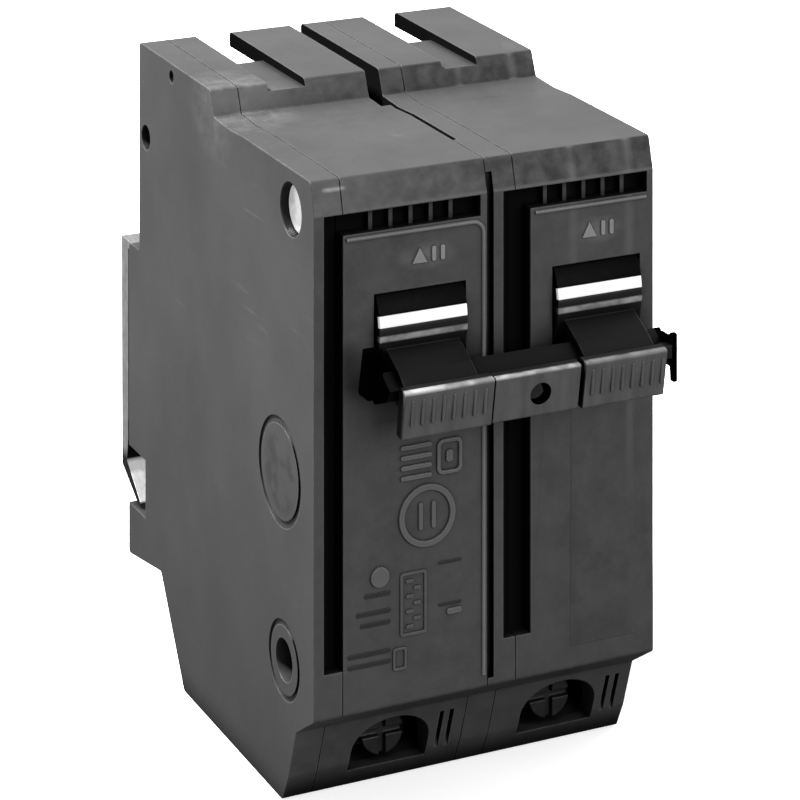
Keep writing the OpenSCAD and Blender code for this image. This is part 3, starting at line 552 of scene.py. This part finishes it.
# crowned blank pad on the right panel
bm = bmesh.new()
x0, x1, z0, z1 = 12.6, 22.4, 17.5, 53.5
nu, nv = 24, 12
top = {}
for i in range(nu + 1):
    for j in range(nv + 1):
        s, t = i / nu, j / nv
        cx = 1 - abs(2 * s - 1) ** 6
        cz = 1 - abs(2 * t - 1) ** 10
        y = FY - 0.34 * cx * cz - 0.02
        top[i, j] = bm.verts.new(((x0 + (x1 - x0) * s) * MM, y * MM, (z0 + (z1 - z0) * t) * MM))
bot = {k: bm.verts.new((v.co.x, (FY + 0.1) * MM, v.co.z)) for k, v in top.items() if k[0] in (0, nu) or k[1] in (0, nv)}
for i in range(nu):
    for j in range(nv):
        bm.faces.new((top[i, j], top[i + 1, j], top[i + 1, j + 1], top[i, j + 1]))
rim = [(i, 0) for i in range(nu)] + [(nu, j) for j in range(nv)] + [(i, nv) for i in range(nu, 0, -1)] + [(0, j) for j in range(nv, 0, -1)]
for a, b in zip(rim, rim[1:] + rim[:1]):
    bm.faces.new((top[b], top[a], bot[a], bot[b]))
bm.faces.new([bot[k] for k in rim])
obj_from_bm("right_panel_pad", bm, CASE, "case", smooth=60)


def to_off(o):
    o.data.transform(Matrix.Translation(PIV) @ Matrix.Rotation(OFF, 4, "X") @ Matrix.Translation(-PIV))


# grip ribs on the paddles, in the same paler grey as the plate fronts' painted fill light
RIB = plastic("rib_grey", grey(0.095), 0.5, grey(0.2), 0.4, edge_r=0.00008, sky=0)
for side, x_left in (("left", -25.4 + 9.0), ("right", 10.1)):
    bm = bmesh.new()
    for k in range(8):
        x = x_left + 1.15 + k * 1.51
        v = bmesh.ops.create_cube(bm, size=1.0)["verts"]
        for q in v:
            q.co = Vector((x + q.co.x * 0.45, -0.82 + q.co.y * 0.5, 0.45 + q.co.z * 3.6)) * MM
    me_rot = Matrix.Translation((0, -0.017, 0)) @ Matrix.Rotation(math.radians(-21.5), 4, "X")
    bmesh.ops.transform(bm, matrix=Matrix.Translation((0, PIV.y, PIV.z)) @ Matrix.Rotation(OFF, 4, "X") @ me_rot, verts=bm.verts)
    obj_from_bm(f"grip_ribs_{side}", bm, RIB, "handles", bevel=0.14, seg=3)

# ------------------------------------------------------------------ stage
def floor_material():
    g = Graph("studio_floor")
    lp = g.n("ShaderNodeLightPath").outputs["Is Camera Ray"]
    pale = g.mix(g.noise(3, 2), (0.87, 0.87, 0.87, 1), (0.89, 0.89, 0.89, 1))
    g.link(g.mix(lp, (0.08, 0.08, 0.08, 1), pale), g.b.inputs["Base Color"])
    g.b.inputs["Roughness"].default_value = 0.9
    g.b.inputs["Specular IOR Level"].default_value = 0.1
    g.b.inputs["Emission Color"].default_value = (1, 1, 1, 1)
    g.link(g.math("MULTIPLY", lp, 0.62), g.b.inputs["Emission Strength"])
    return g.m


bm = bmesh.new()
bmesh.ops.create_grid(bm, x_segments=2, y_segments=2, size=6.0)
me = bpy.data.meshes.new("floor")
bm.to_mesh(me)
bm.free()
floor = bpy.data.objects.new("floor", me)
floor.location = (0, 0, -0.0002)
floor.data.materials.append(floor_material())
bpy.context.scene.collection.objects.link(floor)

world = bpy.data.worlds.new("studio")
bpy.context.scene.world = world
world.use_nodes = True
bg = world.node_tree.nodes["Background"]
bg.inputs[0].default_value = (1, 1, 1, 1)
bg.inputs[1].default_value = 0.40
# the camera sees plain white past the floor; the part is lit by the dimmer studio
white = world.node_tree.nodes.new("ShaderNodeBackground")
white.inputs[0].default_value = (1, 1, 1, 1)
white.inputs[1].default_value = 1.0
pick = world.node_tree.nodes.new("ShaderNodeMixShader")
path = world.node_tree.nodes.new("ShaderNodeLightPath")
world.node_tree.links.new(path.outputs["Is Camera Ray"], pick.inputs[0])
world.node_tree.links.new(bg.outputs[0], pick.inputs[1])
world.node_tree.links.new(white.outputs[0], pick.inputs[2])
world.node_tree.links.new(pick.outputs[0], world.node_tree.nodes["World Output"].inputs["Surface"])


def area(name, loc, target, size, energy, size_y=None):
    d = bpy.data.lights.new(name, "AREA")
    d.energy = energy
    d.shape = "RECTANGLE"
    d.size = size
    d.size_y = size_y or size
    o = bpy.data.objects.new(name, d)
    o.location = loc
    o.rotation_mode = "QUATERNION"
    o.rotation_quaternion = (Vector(target) - Vector(loc)).to_track_quat("-Z", "Y")
    bpy.context.scene.collection.objects.link(o)
    return o


C = (0.0, -0.03 + DY, 0.045)
# The key stands behind, to the left and high, so the case's top edge shades the handles and only the front lip of the tie catches it.
area("key", (-0.5625, 0.35, 1.045), C, 0.22, 46.0)
area("fill_front", (0.35, -1.3, 0.55), C, 0.9, 11.0)
area("fill_right", (1.2, 0.25, 0.30), C, 0.9, 9.0)

# ------------------------------------------------------------------ camera
# A view camera: level, turned 25 degrees, with the lens shifted down so that uprights stay upright.
HERO = (-0.2036, -0.4680 + DY, 0.2183)
cam_data = bpy.data.cameras.new("camera")
cam = bpy.data.objects.new("camera", cam_data)
bpy.context.scene.collection.objects.link(cam)
cam_data.sensor_width = 36.0
cam_data.lens = 152.8
cam_data.clip_start = 0.02
cam_data.clip_end = 50
cam.location = HERO
look = Vector((0.4251, 0.9051, 0.0))
cam.rotation_mode = "QUATERNION"
cam.rotation_quaternion = look.to_track_quat("-Z", "Y")
bpy.context.scene.camera = cam
# the shift belongs to this place only: from anywhere else the lens is centred
drv = cam_data.driver_add("shift_y").driver
drv.type = "SCRIPTED"
for axis, var in (("LOC_X", "px"), ("LOC_Y", "py")):
    v = drv.variables.new()
    v.name = var
    v.type = "TRANSFORMS"
    v.targets[0].id = cam
    v.targets[0].transform_type = axis
    v.targets[0].transform_space = "WORLD_SPACE"
drv.expression = "-1.5477 if abs(px + 0.2036) + abs(py + 0.43425) < 0.0005 else 0.0"

sc = bpy.context.scene
sc.view_settings.view_transform = "Standard"
sc.view_settings.look = "None"
sc.view_settings.exposure = 0.0

bpy.context.view_layer.update()
